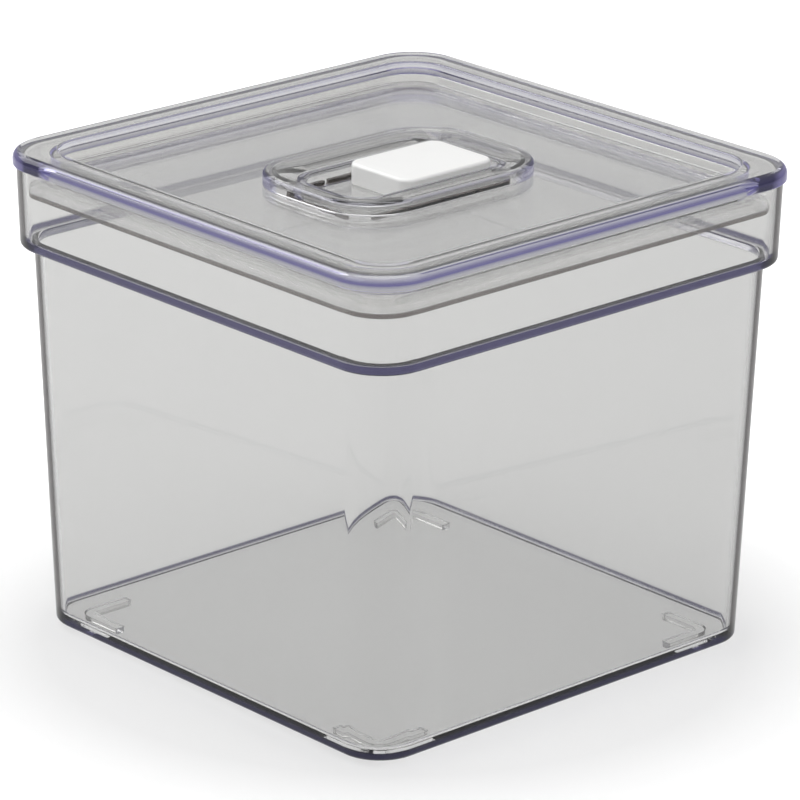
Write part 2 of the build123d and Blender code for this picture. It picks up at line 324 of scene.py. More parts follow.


# %% [markdown]
# The cup of the box
#
# One profile makes the whole cup. It starts under the base, goes up the drafted outside, steps out to
# the collar, turns over the mouth, and comes down the inside to the floor. It is drawn as one line
# because a box and a collar pushed into each other would show a false wall in the glass. Two extra
# stations above the base and two on the collar say where the painted edge shade ends.

# %% The cup of the box
base_z, floor_z, collar_z, shelf_z, mouth_z = 2.0, 4.4, 113.3, 115.7, 136.8
base_half, neck_half, collar_half, mouth_half = 71.9, 75.1, 78.3, 78.85
floor_half, throat_half, shelf_half, bore_half = 69.57, 72.77, 75.96, 76.45
body_corner, collar_corner, wall = 12.7, 14.3, 2.4
sheet_inset = 4.0
base_painted_edge_shares, collar_painted_edge_shares = (0.018, 0.026), (0.12, 0.15)

under = square(base_z, base_half, body_corner)
wall_foot = square(collar_z, neck_half, body_corner)
collar_foot = square(collar_z, collar_half, collar_corner)
collar_top = square(mouth_z, mouth_half, collar_corner)


def between(a, b, share):
    """The station a share of the way from a to b."""
    return a + share * (b - a)


floor_edge = square(floor_z, floor_half, body_corner - wall)
cup_profile = [
    grown(under, -sheet_inset),
    under,
    *(between(under, wall_foot, share) for share in base_painted_edge_shares),
    wall_foot,
    collar_foot,
    *(between(collar_foot, collar_top, share) for share in collar_painted_edge_shares),
    collar_top,
    square(mouth_z, bore_half, collar_corner - wall),
    square(shelf_z, shelf_half, collar_corner - wall),
    square(shelf_z, throat_half, body_corner - wall),
    floor_edge,
    grown(floor_edge, -sheet_inset),
]
cup_rounds = [0, 1.2, 0, 0, 0.4, 1.5, 0, 0, 0.5, 0.5, 0.4, 0.9, 2.0, 0]
# Where the cup's edges get painted shade.
cup_painted_edges = [0, 1, 1, 0, 0.6, 1, 1, 0, 0.2, 0.2, 0, 0, 0, 0]
cup = carried(cup_profile, cup_rounds, cup_painted_edges)
print("the cup's profile has", len(cup_profile), "stations and", len(cup[0]), "with its arcs")

# %% [markdown]
# The feet of the box
#
# An L-shaped rib stands under each corner of the base, and drops into the lid of a box
# below. The underside is therefore a flat sheet with four L-shaped holes, and a short
# profile round each L grows out of it, so that box and ribs are one shell. The other three
# ribs are the first one turned by quarter turns.

# %% The feet of the box
foot_z, foot_outer, foot_inner, foot_end = 0.0, 63.0, 60.0, 46.0
foot_radii = (0.5, 4.5, 0.5, 0.5, -1.5, 0.5)
foot_inset, foot_spread = 0.48, 0.4
foot_l = np.array([
    (foot_outer, foot_end), (foot_outer, foot_outer), (foot_end, foot_outer),
    (foot_end, foot_inner), (foot_inner, foot_inner), (foot_inner, foot_end),
])
quarter_turn = np.array([(0, 1), (-1, 0)])
feet, foot_rims = [], []
for k in range(4):
    corners = foot_l @ np.linalg.matrix_power(quarter_turn, k)
    foot = station(corners, foot_radii, foot_z)
    high = grown(foot, 0, base_z)
    rib_profile = [grown(foot, -foot_inset), foot, high, grown(high, foot_spread)]
    rib = carried(rib_profile, [0, 0.4, 0.3, 0], arc=6)
    feet += [rib, flat_sheet(rib[0][0], up=False)]
    foot_rims.append(rib[0][-1])
underside = flat_sheet(cup[0][0], foot_rims, up=False)
box_cup = piece("box_cup", [cup, underside, flat_sheet(cup[0][-1])] + feet)
stands_for(box_cup, "container_body", "container")

# %% [markdown]
# The lid's cover
#
# The cover is a ring in section, because the handle well fills its middle: a thick rim
# that laps over the collar, a wall down to the sunk plate, and a leg outside that wall.
# Its profile therefore closes on itself. Just inside each rounded edge the outline first
# shrinks evenly, so that the round keeps its width in the corners.

# %% The lid's cover
rim_z, lid_z, plate_z, plate_foot_z = 136.9, 141.1, 134.9, 132.9
lid_half, recess_half, leg_half = 80.0, 69.7, 71.9
lid_corner, recess_corner, leg_corner = 15.8, 11.5, 13.7
opening = dict(half_x=34.5, half_y=24.5, radius=16.0)
even_in, even_out = 3, 2

rim_top = square(lid_z, lid_half, lid_corner)
rim_foot = square(rim_z, lid_half, lid_corner)
recess_top = square(lid_z, recess_half, recess_corner)
recess_foot = square(plate_z, recess_half, recess_corner)
leg_foot = square(plate_foot_z, leg_half, leg_corner)
leg_top = square(rim_z, leg_half, leg_corner)
hole_top = rectangle(plate_z, **opening)
hole_foot = rectangle(plate_foot_z, **opening)
cover_profile = [
    rim_foot, rim_top, grown(rim_top, -even_in), grown(recess_top, even_out), recess_top,
    recess_foot, grown(recess_foot, -even_in), grown(hole_top, even_out), hole_top,
    hole_foot, grown(hole_foot, even_out), grown(leg_foot, -even_in), leg_foot,
    leg_top, grown(leg_top, even_out), grown(rim_foot, -even_out),
]
cover_rounds = [0.4, 2.4, 0, 0, 0.7, 0.9, 0, 0, 0.2, 0.2, 0, 0, 0.9, 0.4, 0, 0]
# Where the cover's edges get painted shade.
cover_painted_edges = [0.4, 1, 0, 0, 0, 0, 0, 0, 0, 0, 0, 0, 0, 0, 0, 0]
lid_shell = piece("lid_shell", [carried(cover_profile, cover_rounds, cover_painted_edges, closed=True)])
stands_for(lid_shell, "lid_cover", "lid")

# %% [markdown]
# The handle well
#
# A bezel stands on the cover and dishes down to a deep tub. The tub's floor has a slot for
# the post, close to one end. Outlines of very different size and place can still be
# joined, because each point only travels in a straight line over the flat floor.

# %% The handle well
bezel_foot_z, bezel_z, well_rim_z = 134.95, 138.8, 136.8
ceiling_z, ceiling_rise, tub_z, tub_foot_z = 135.4, 1.9, 132.0, 130.4
bezel_half_x, bezel_half_y, bezel_corner, bezel_width = 36.5, 26.5, 18.0, 3.7
tub_half_x, tub_half_y, tub_radii, tub_wall = 28.5, 15.8, (5.0, 5.0, 9.5, 9.5), 2.0
post_middle, slot_half_x, slot_half_y, slot_corner = (23.3, 0.0), 2.0, 3.3, 0.3
tub_inset, slot_spread = 1.2, 0.5

bezel_foot = rectangle(bezel_foot_z, bezel_half_x, bezel_half_y, bezel_corner)
bezel_top = grown(bezel_foot, 0, bezel_z)
dish_top = grown(bezel_top, -bezel_width)
tub_rim = rectangle(well_rim_z, tub_half_x, tub_half_y, tub_radii)
bore_rim = grown(tub_rim, -tub_wall)
bore_foot = grown(bore_rim, 0, tub_z)
slot_top = rectangle(tub_z, slot_half_x, slot_half_y, slot_corner, middle=post_middle)
slot_foot = grown(slot_top, 0, tub_foot_z)
tub_foot = grown(tub_rim, 0, tub_foot_z)
tub_top = grown(tub_rim, 0, ceiling_z)
skirt_top = rectangle(ceiling_z + ceiling_rise, **opening)
skirt_foot = rectangle(bezel_foot_z, **opening)
well_profile = [
    bezel_foot, bezel_top, dish_top, tub_rim, bore_rim, bore_foot,
    grown(bore_foot, -tub_inset), grown(slot_top, slot_spread), slot_top,
    slot_foot, grown(slot_foot, slot_spread), grown(tub_foot, -tub_inset), tub_foot,
    tub_top, skirt_top, skirt_foot,
]
well_rounds = [0.15, 1.5, 0.4, 0.4, 0.5, 0.8, 0, 0, 0.15, 0.15, 0, 0, 0.8, 0.4, 0.6, 0.15]
# Where the well's edges get painted shade.
well_painted_edges = [0, 0.8, 0, 0.5, 0.8, 0, 0, 0, 0.5, 0, 0, 0, 1, 0, 0, 0]
handle_tub = piece("handle_tub", [carried(well_profile, well_rounds, well_painted_edges, closed=True)])
stands_for(handle_tub, "handle_well", "lid")

# %% [markdown]
# The press plate's edge and rib
#
# The press plate squeezes the seal. Its edge is the fine dark line that shows through the collar, so
# only its edge carries painted shade. A low keeper rib stands near the edge and holds the seal in place.
# One profile draws both, from under the edge to the foot of the rib.

# %% The press plate's edge and rib
press_foot_z, press_z, keeper_z = 128.5, 130.1, 132.4
press_half, press_corner, keeper_half, keeper_corner, keeper_width = 75.393, 11.0, 71.9, 7.51, 1.6
under_inset, over_inset = 4, 2

edge = square(press_foot_z, press_half, press_corner)
edge_top = grown(edge, 0, press_z)
keeper_foot = square(press_z, keeper_half, keeper_corner)
keeper_top = grown(keeper_foot, 0, keeper_z)
inner_top = grown(keeper_top, -keeper_width)
inner_foot = grown(inner_top, 0, press_z)
edge_profile = [
    grown(edge, -under_inset), edge, edge_top, keeper_foot,
    keeper_top, inner_top, inner_foot, grown(inner_foot, -over_inset),
]
edge_rounds = [0, 0.4, 0.4, 0.3, 0.25, 0.25, 0.3, 0]
# The third list says where the plate's edge gets painted shade.
plate_edge = carried(edge_profile, edge_rounds, [0, 1, 1, 0, 0, 0, 0, 0])
print("the plate's edge stands", round(bore_half - press_half, 2), "mm inside the collar's mouth")

# %% [markdown]
# The tabs round the tub
#
# Twelve short tabs stand round the tub and keep the plate square to it. Four stand along
# each long side and two at each end, so both loops count from the middle of the row. Every
# tab is a hole in the plate's top sheet with a short profile that grows out of it.

# %% The tabs round the tub
tab_z, tab_pitch, tab_half_long, tab_half_thick, tab_corner = 132.9, 12.75, 5.625, 0.7, 0.25
tab_side_y, tab_end_x, tab_spread, tab_inset = 16.8, 29.5, 0.4, 0.24
sides = (-1, 1)
tab_places = [(tab_pitch * (k - 1.5), side * tab_side_y) for k in range(4) for side in sides]
tab_halves = [(tab_half_long, tab_half_thick)] * len(tab_places)
end_places = [(side * tab_end_x, tab_pitch * (k - 0.5)) for k in range(2) for side in sides]
tab_places += end_places
tab_halves += [(tab_half_thick, tab_half_long)] * len(end_places)
tabs, tab_feet = [], []
for middle, half in zip(tab_places, tab_halves):
    foot = rectangle(press_z, *half, tab_corner, middle=middle)
    top = grown(foot, 0, tab_z)
    tab_profile = [grown(foot, tab_spread), foot, top, grown(top, -tab_inset)]
    # The tabs' edges get painted shade too.
    tab = carried(tab_profile, [0, 0.3, 0.2, 0], [0, 1, 1, 1], arc=3, bends=4)
    tabs += [tab, flat_sheet(tab[0][-1])]
    tab_feet.append(tab[0][0])
print("tabs:", len(tab_feet), "of", round(tab_z - press_z, 2), "mm height")

# %% [markdown]
# The socket and its boss
#
# The post is fixed in a socket under one end of the tub. The socket's mouth is one more hole
# in the plate's top sheet, and the boss that surrounds it is a hole in the under sheet.

# %% The socket and its boss
socket_z, socket_half_x, socket_half_y, socket_corner = 126.1, 1.75, 3.05, 0.25
boss_z, boss_half_x, boss_half_y, boss_corner = 124.7, 3.2, 4.5, 0.8
boss_inset, boss_spread = 0.7, 0.6

mouth = rectangle(press_z, socket_half_x, socket_half_y, socket_corner, middle=post_middle)
socket_floor = grown(mouth, 0, socket_z)
socket_profile = [grown(mouth, tab_spread), mouth, socket_floor, grown(socket_floor, -tab_inset)]
socket = carried(socket_profile, [0, 0.2, 0.2, 0], arc=3, bends=4)
boss_foot = rectangle(boss_z, boss_half_x, boss_half_y, boss_corner, middle=post_middle)
boss_top = grown(boss_foot, 0, press_foot_z)
boss_profile = [grown(boss_foot, -boss_inset), boss_foot, boss_top, grown(boss_top, boss_spread)]
boss = carried(boss_profile, [0, 0.5, 0.4, 0], arc=4, bends=4)
press_disc = piece("press_disc", [
    plate_edge,
    flat_sheet(plate_edge[0][-1], tab_feet + [socket[0][0]]),
    flat_sheet(socket[0][-1]),
    flat_sheet(plate_edge[0][0], [boss[0][-1]], up=False),
    flat_sheet(boss[0][0], up=False),
    *tabs, socket, boss,
])
stands_for(press_disc, "press_plate", "plate")

# %% [markdown]
# The seal
#
# The seal is a soft ring that the press plate squeezes up against the rim. Its foot moves down with the
# plate while its top stays under the rim. All four edges of its section are rounded.

# %% The seal
seal_foot_z, seal_z, seal_half, seal_corner, seal_width = 130.15, 136.85, 75.993, 11.6, 3.843
seal_foot = square(seal_foot_z, seal_half, seal_corner)
seal_top = grown(seal_foot, 0, seal_z)
seal_inner_top = grown(seal_top, -seal_width)
seal_inner_foot = grown(seal_inner_top, 0, seal_foot_z)
seal_ring = piece("seal_ring", [
    carried([seal_foot, seal_top, seal_inner_top, seal_inner_foot], [1.2, 1.2, 0.3, 0.3], closed=True)
])
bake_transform(seal_ring)
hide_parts("seal_gasket")

# %% [markdown]
# The post and the pin
#
# The post hangs from the pin and pulls the press plate up. Both are outlines carried
# sideways, so they are made lying down and then stood up with a plain change of axes: x
# stays, the outline's y becomes z, and the profile runs along -y. A circle is a square whose
# arcs nearly meet: the very short flats between them keep the direction of each side known.

# %% The post and the pin
stood_up = np.array([(1, 0, 0), (0, 0, -1), (0, 1, 0)], float)
pin_middle, pin_radius, pin_half, eye_radius = (23.3, 135.4), 0.8, 12.3, 0.82
post_back, post_front, post_foot, post_top, post_half = 25.0, 21.6, 126.15, 137.1, 3.0
post_radii, barely_flat = (0.3, 1.68, 1.68, 0.3), 0.01
face_inset, eye_spread, rod_inset = 0.4, 0.3, 0.6

post_outline = [
    (post_back, post_foot), (post_back, post_top),
    (post_front, post_top), (post_front, post_foot),
]
slab = station(post_outline, post_radii, -post_half)
eye = rectangle(post_half, eye_radius, eye_radius, eye_radius - barely_flat, middle=pin_middle)
post_profile = [
    slab, grown(slab, 0, post_half), grown(slab, -face_inset, post_half), grown(eye, eye_spread),
    eye, grown(eye, 0, -post_half), grown(eye, eye_spread, -post_half), grown(slab, -face_inset),
]
post_rounds = [0.25, 0.25, 0, 0, 0.1, 0.1, 0, 0]
post = piece("post", [carried(post_profile, post_rounds, closed=True)], turned=stood_up)
stands_for(post, "pull_post", "plate")

rod = rectangle(-pin_half, pin_radius, pin_radius, pin_radius - barely_flat, middle=pin_middle)
rod_far = grown(rod, 0, pin_half)
rod_profile = [grown(rod, -rod_inset), rod, rod_far, grown(rod_far, -rod_inset)]
rod_side = carried(rod_profile, [0, 0.2, 0.2, 0])
rod_ends = [flat_sheet(rod_side[0][0], up=False), flat_sheet(rod_side[0][-1])]
pin = piece("pin", [rod_side, *rod_ends], turned=stood_up)
stands_for(pin, "hinge_pin", "plate")

# %% [markdown]
# The lever
#
# The lever is the one opaque piece that shows. Its solid already has the round shoulders, the
# finger scoop and the pockets, so a copy of that solid is used. A solid's mesh comes as loose
# triangles. The copy is merged first, and only the turns sharper than 35 degrees stay sharp,
# so that the shoulders shade as the smooth rounds that they are.

# %% The lever
touching, sharpest_soft_turn = 0.001 * mm, math.radians(35)
lever_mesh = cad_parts["flip_lever"].data.copy()
lever_mesh.materials.clear()
merged = bmesh.new()
merged.from_mesh(lever_mesh)
bmesh.ops.remove_doubles(merged, verts=merged.verts, dist=touching)
merged.to_mesh(lever_mesh)
merged.free()
if "custom_normal" in lever_mesh.attributes:
    lever_mesh.attributes.remove(lever_mesh.attributes["custom_normal"])
lever_mesh.shade_smooth()
lever_mesh.set_sharp_from_angle(angle=sharpest_soft_turn)
lever_cap = bpy.data.objects.new("lever_cap", lever_mesh)
bpy.context.scene.collection.objects.link(lever_cap)
stands_for(lever_cap, "flip_lever", "lever")
print("lever_cap:", len(lever_mesh.vertices), "points")

# %% [markdown]
# Finishes
#
# A finish is a small graph of nodes. Four helpers keep the graphs short. They start an empty
# material, add a node and set its inputs by name, link two sockets, and start a group. A Mix
# node has a set of sockets for each kind of value, all with the same names, so its two
# colours are reached by number.

# %% Node helpers
def new_finish(name):
    """An empty node material, with its output node in place, and its tree."""
    made = bpy.data.materials.new(name)
    made.use_nodes = True
    made.node_tree.nodes.clear()
    made.node_tree.nodes.new("ShaderNodeOutputMaterial")
    print("finish:", name)
    return made, made.node_tree


def add(tree, kind, **values):
    """Adds a node. A value named like a property sets it, and any other sets the input of that name."""
    node = tree.nodes.new(kind)
    for name, value in values.items():
        if hasattr(node, name):
            setattr(node, name, value)
        else:
            node.inputs[name.replace("_", " ")].default_value = value
    return node


def link(tree, out, into):
    """Links an output to an input."""
    tree.links.new(out, into)


def new_group(name, inputs, outputs):
    """An empty shader group with named sockets, each input given as name, kind and starting value."""
    group = bpy.data.node_groups.new(name, "ShaderNodeTree")
    for label, kind, value in inputs:
        group.interface.new_socket(label, in_out="INPUT", socket_type=kind).default_value = value
    for label, kind in outputs:
        group.interface.new_socket(label, in_out="OUTPUT", socket_type=kind)
    print("group:", name, "takes", [label for label, _, _ in inputs])
    return group, group.nodes.new("NodeGroupInput"), group.nodes.new("NodeGroupOutput")


NUMBER, COLOUR = "NodeSocketFloat", "NodeSocketColor"
FIRST_COLOUR, SECOND_COLOUR, MIXED_COLOUR = 6, 7, 2
print("group sockets are of the kinds", NUMBER, "and", COLOUR)

# %% [markdown]
# The moulded skin
#
# No moulded face is perfectly flat or evenly polished. Cooling plastic shrinks in long, low
# waves, and handling leaves faint smears. Every finish here shares those two effects, so they
# are one group, placed in each material with its own sizes. Both noises read Object
# coordinates, which stay with the piece when it moves.

# %% The moulded skin
skin, given, result = new_group(
    "moulded_skin",
    [("Wave size", NUMBER, 22.0), ("Wave height", NUMBER, 0.05),
     ("Least roughness", NUMBER, 0.0), ("Most roughness", NUMBER, 0.04)],
    [("Roughness", NUMBER), ("Height", NUMBER)],
)
place = add(skin, "ShaderNodeTexCoord")
waves = add(skin, "ShaderNodeTexNoise", Detail=1.0, Roughness=0.4)
link(skin, place.outputs["Object"], waves.inputs["Vector"])
link(skin, given.outputs["Wave size"], waves.inputs["Scale"])
lift = add(skin, "ShaderNodeMath", operation="MULTIPLY")
link(skin, waves.outputs["Fac"], lift.inputs[0])
link(skin, given.outputs["Wave height"], lift.inputs[1])
link(skin, lift.outputs[0], result.inputs["Height"])
smears = add(skin, "ShaderNodeTexNoise", Scale=60.0, Detail=4.0, Roughness=0.6)
link(skin, place.outputs["Object"], smears.inputs["Vector"])
polish = add(skin, "ShaderNodeMapRange", From_Min=0.45, From_Max=0.75)
link(skin, smears.outputs["Fac"], polish.inputs["Value"])
link(skin, given.outputs["Least roughness"], polish.inputs["To Min"])
link(skin, given.outputs["Most roughness"], polish.inputs["To Max"])
link(skin, polish.outputs["Result"], result.inputs["Roughness"])


def give_skin(tree, shader, size, height, least, most):
    """Places the skin in a material: roughness goes to the shader, and height through a bump node."""
    group = add(tree, "ShaderNodeGroup", node_tree=skin)
    labels = ("Wave size", "Wave height", "Least roughness", "Most roughness")
    for label, value in zip(labels, (size, height, least, most)):
        group.inputs[label].default_value = value
    bump = add(tree, "ShaderNodeBump", Distance=mm)
    link(tree, group.outputs["Height"], bump.inputs["Height"])
    link(tree, group.outputs["Roughness"], shader.inputs["Roughness"])
    link(tree, bump.outputs["Normal"], shader.inputs["Normal"])


# %% [markdown]
# Painted shade in the edges
#
# A clear wall hardly has a colour, but its rounded edges look dark and violet. Light there has run a
# long way through the plastic, and much of it comes from the dark room. Following that light with many
# bounces is slow and noisy, so the edges get painted shade instead, in the violet of the raw material.
# The pieces already know where their edges are, because each point kept its bend weight as an attribute,
# so a group mixes the painted edge shade in by that weight. A power of the weight keeps the painted
# shade to the middle of the bend.

# %% Painted shade in the edges
# The edge colour is painted shade with the plastic's violet tint.
painted_edge_shade, given, result = new_group(
    "painted_edge_shade",
    [("Wall colour", COLOUR, (1, 1, 1, 1)), ("Painted edge shade", COLOUR, (0.3, 0.27, 0.58, 1)),
     ("Narrowness", NUMBER, 1.0)],
    [("Colour", COLOUR)],
)
weight = add(painted_edge_shade, "ShaderNodeAttribute", attribute_name="edge")
share = add(painted_edge_shade, "ShaderNodeMath", operation="POWER", use_clamp=True)
link(painted_edge_shade, weight.outputs["Fac"], share.inputs[0])
link(painted_edge_shade, given.outputs["Narrowness"], share.inputs[1])
blend = add(painted_edge_shade, "ShaderNodeMix", data_type="RGBA")
link(painted_edge_shade, share.outputs[0], blend.inputs["Factor"])
link(painted_edge_shade, given.outputs["Wall colour"], blend.inputs[FIRST_COLOUR])
link(painted_edge_shade, given.outputs["Painted edge shade"], blend.inputs[SECOND_COLOUR])
link(painted_edge_shade, blend.outputs[MIXED_COLOUR], result.inputs["Colour"])

# %% [markdown]
# Painted shade on corners seen at a slant
#
# The upright corners of the real box are drawn by dark lines down its sides. There the wall turns away
# from the eye, and the light that comes through it is bent towards the dark ends of the room. Here that
# is painted shade. The corner attribute says which points lie on such a turn, and Layer Weight says how
# far a point faces away. The product of the two is the share of the darker painted colour. On the lid
# that colour is a paler violet.

# %% Painted shade on corners seen at a slant
full_corner = 0.15


def painted_corner_shade_share(tree, start, end):
    """Share of painted corner shade: 0 on the flat walls, and on upright corners rises between two
    facing values.
    """
    corner = add(tree, "ShaderNodeAttribute", attribute_name="corner")
    wide = add(tree, "ShaderNodeMapRange", From_Max=full_corner)
    link(tree, corner.outputs["Fac"], wide.inputs["Value"])
    slant = add(tree, "ShaderNodeLayerWeight", Blend=0.5)
    away = add(tree, "ShaderNodeMapRange", From_Min=start, From_Max=end)
    link(tree, slant.outputs["Facing"], away.inputs["Value"])
    share = add(tree, "ShaderNodeMath", operation="MULTIPLY", use_clamp=True)
    link(tree, wide.outputs["Result"], share.inputs[0])
    link(tree, away.outputs["Result"], share.inputs[1])
    return share.outputs[0]


def two_colours(tree, share, low, high):
    """Output that goes from one colour to another with a share."""
    mix = add(tree, "ShaderNodeMix", data_type="RGBA")
    link(tree, share, mix.inputs["Factor"])
    mix.inputs[FIRST_COLOUR].default_value = low
    mix.inputs[SECOND_COLOUR].default_value = high
    return mix.outputs[MIXED_COLOUR]


black = (0.0, 0.0, 0.0, 1)
box_slant, lid_slant = (0.38, 0.58), (0.33, 0.5)
print("corner colours rise over facing values", box_slant, "on the box and", lid_slant, "on the lid")

# %% [markdown]
# Clear plastic
#
# Clear plastic is a shader with full transmission, and light bends at every wall because the
# pieces are closed. Real clear pieces let most light through to the table, but a ray that is
# aimed at a lamp can't follow the bends, and the shadow would be black. A plain transparent
# shader stands in for such rays, so the shadow stays soft and pale.

# %% Clear plastic
def through_shadows(tree, body, shade):
    """Links a shader to the output, and for shadow rays a transparent one of a given colour instead."""
    open_way = add(tree, "ShaderNodeBsdfTransparent", Color=shade)
    path = add(tree, "ShaderNodeLightPath")
    choose = add(tree, "ShaderNodeMixShader")
    link(tree, path.outputs["Is Shadow Ray"], choose.inputs[0])
    link(tree, body.outputs[0], choose.inputs[1])
    link(tree, open_way.outputs[0], choose.inputs[2])
    link(tree, choose.outputs[0], tree.nodes["Material Output"].inputs["Surface"])


def clear_finish(name, slant, edge, corner, painted_edge_glow=black, painted_corner_glow=black, narrow=1.0):
    """Clear plastic: one colour on flat walls, painted shade on bent edges and on corners that turn
    away.

    The glows are painted light: they are weak, and stand for light that has run round inside the edge or
    the corner.
    """
    made, tree = new_finish(name)
    body = add(tree, "ShaderNodeBsdfPrincipled", IOR=1.5, Transmission_Weight=1.0, Emission_Strength=1.0)
    give_skin(tree, body, size=22.0, height=0.02, least=0.0, most=0.02)
    # Share of painted shade on corners that turn away.
    share = painted_corner_shade_share(tree, *slant)
    painted_shade = add(tree, "ShaderNodeGroup", node_tree=painted_edge_shade)
    painted_shade.inputs["Painted edge shade"].default_value = edge
    painted_shade.inputs["Narrowness"].default_value = narrow
    link(tree, two_colours(tree, share, wall_colour, corner), painted_shade.inputs["Wall colour"])
    link(tree, painted_shade.outputs["Colour"], body.inputs["Base Color"])
    weight = add(tree, "ShaderNodeAttribute", attribute_name="edge")
    # Emission here is painted light: a weak glow on edges and on corners that turn away.
    painted_glow = add(tree, "ShaderNodeMix", data_type="RGBA")
    link(tree, share, painted_glow.inputs["Factor"])
    link(tree, two_colours(tree, weight.outputs["Fac"], black, painted_edge_glow), painted_glow.inputs[FIRST_COLOUR])
    painted_glow.inputs[SECOND_COLOUR].default_value = painted_corner_glow
    link(tree, painted_glow.outputs[MIXED_COLOUR], body.inputs["Emission Color"])
    through_shadows(tree, body, clear_shade)
    return made, tree, body


wall_colour, clear_shade = (0.855, 0.855, 0.85, 1), (0.99, 0.99, 0.992, 1)
violet_edge_shade, faint_violet_painted_glow = (0.04, 0.032, 0.2, 1), (0.02, 0.018, 0.05, 1)
# Edge and corner colours below are painted shade, and the glows are painted light.
clear_box = clear_finish(
    "clear_box", box_slant,
    edge=(0.006, 0.005, 0.02, 1), painted_edge_glow=(0.013, 0.012, 0.035, 1),
    corner=(0.012, 0.01, 0.01, 1),
)[0]
clear_lid = clear_finish(
    "clear_lid", lid_slant,
    edge=violet_edge_shade, painted_edge_glow=faint_violet_painted_glow, narrow=2.0,
    corner=(0.5, 0.48, 0.85, 1), painted_corner_glow=(0.1, 0.09, 0.2, 1),
)[0]
clear_well = clear_finish(
    "clear_well", lid_slant,
    edge=violet_edge_shade, narrow=2.0,
    corner=(0.6, 0.59, 0.8, 1), painted_corner_glow=faint_violet_painted_glow,
)[0]
box_cup.data.materials.append(clear_box)
lid_shell.data.materials.append(clear_lid)
handle_tub.data.materials.append(clear_well)

# %% [markdown]
# The works inside the lid
#
# The press plate is thin and clean, and in the photo little more than its edge shows: a fine warm dark
# line below the rim. Alpha is low on its flat faces, which lets most light pass unbent, and rises to 1
# on its edges, where the edge colour paints that line as painted shade.

# %% The works inside the lid
# The dark line on the plate's edge is painted shade.
warm_painted_edge_shade = (0.04, 0.03, 0.027, 1)
clear_works, tree, body = clear_finish("clear_works", box_slant, edge=warm_painted_edge_shade, corner=wall_colour)
weight = add(tree, "ShaderNodeAttribute", attribute_name="edge")
solid = add(tree, "ShaderNodeMapRange", To_Min=0.3, To_Max=1.0)
link(tree, weight.outputs["Fac"], solid.inputs["Value"])
link(tree, solid.outputs["Result"], body.inputs["Alpha"])
for inner_piece in (press_disc, post):
    inner_piece.data.materials.append(clear_works)

# %% [markdown]
# The seal's finish
#
# The seal is a thin, milky silicone ring. It is softer than the walls, so its skin is rougher
# and its waves are closer together. Most of what lies behind it still shows.

# %% The seal's finish
silicone, tree = new_finish("silicone")
milk, milk_shade = (0.93, 0.9, 0.83, 1), (0.9, 0.9, 0.9, 1)
body = add(tree, "ShaderNodeBsdfPrincipled", Base_Color=milk, IOR=1.41, Transmission_Weight=1.0)
body.inputs["Alpha"].default_value = 0.15
give_skin(tree, body, size=60.0, height=0.03, least=0.02, most=0.1)
through_shadows(tree, body, milk_shade)
seal_ring.data.materials.append(silicone)

# %% [markdown]
# Steel and white plastic
#
# The pin is drawn steel: a metal with a fine, uneven polish. The lever is glossy white
# plastic. Its waves are small, so that the lamps' reflections wander slightly on its top.

# %% Steel and white plastic
steel, tree = new_finish("steel")
body = add(tree, "ShaderNodeBsdfPrincipled", Base_Color=(0.62, 0.62, 0.63, 1), Metallic=1.0)
give_skin(tree, body, size=400.0, height=0.02, least=0.2, most=0.35)
link(tree, body.outputs[0], tree.nodes["Material Output"].inputs["Surface"])
pin.data.materials.append(steel)

white, tree = new_finish("white_plastic")
body = add(tree, "ShaderNodeBsdfPrincipled", Base_Color=(0.88, 0.88, 0.87, 1), IOR=1.5)
give_skin(tree, body, size=90.0, height=0.05, least=0.12, most=0.22)
link(tree, body.outputs[0], tree.nodes["Material Output"].inputs["Surface"])
lever_cap.data.materials.append(white)

# %% [markdown]
# The floor
#
# The box stands on a plain sheet that is large enough to fill the picture. It lies a hair
# below the feet, because two faces in the same place show through each other in blotches.

# %% The floor
floor_half_m, hair_m = 4.0, 0.1 * mm
floor_signs = [(-1, -1), (1, -1), (1, 1), (-1, 1)]
floor_corners = [(x * floor_half_m, y * floor_half_m, 0) for x, y in floor_signs]
floor_mesh = bpy.data.meshes.new("floor")
floor_mesh.from_pydata(floor_corners, [], [(0, 1, 2, 3)])
floor = bpy.data.objects.new("floor", floor_mesh)
bpy.context.scene.collection.objects.link(floor)
floor.location.z = -hair_m
print("the floor measures", 2 * floor_half_m, "m each way")

# %% [markdown]
# White paper
#
# The floor is white paper. Lit paper alone would be grey beside the object, because the lamps have to
# stay low enough for the white lever. A glow is added to it that only the camera and, more weakly, the
# rays through plastic can see. The glow is low near the object, so that the object's own shadow stays,
# and reaches white further out. The low glow also paints a grey ring of shade round the object, beyond
# its real shadow.

# %% White paper
paper_grey, near_glow_with_painted_shade, glow_far, glow_in_plastic = 0.62, 0.24, 0.72, 0.16
ring_start_m, ring_end_m = 0.1, 0.2
paper, tree = new_finish("paper")
matt = add(tree, "ShaderNodeBsdfDiffuse", Color=(paper_grey, paper_grey, paper_grey, 1))
place = add(tree, "ShaderNodeTexCoord")
far = add(tree, "ShaderNodeVectorMath", operation="LENGTH")
link(tree, place.outputs["Object"], far.inputs[0])
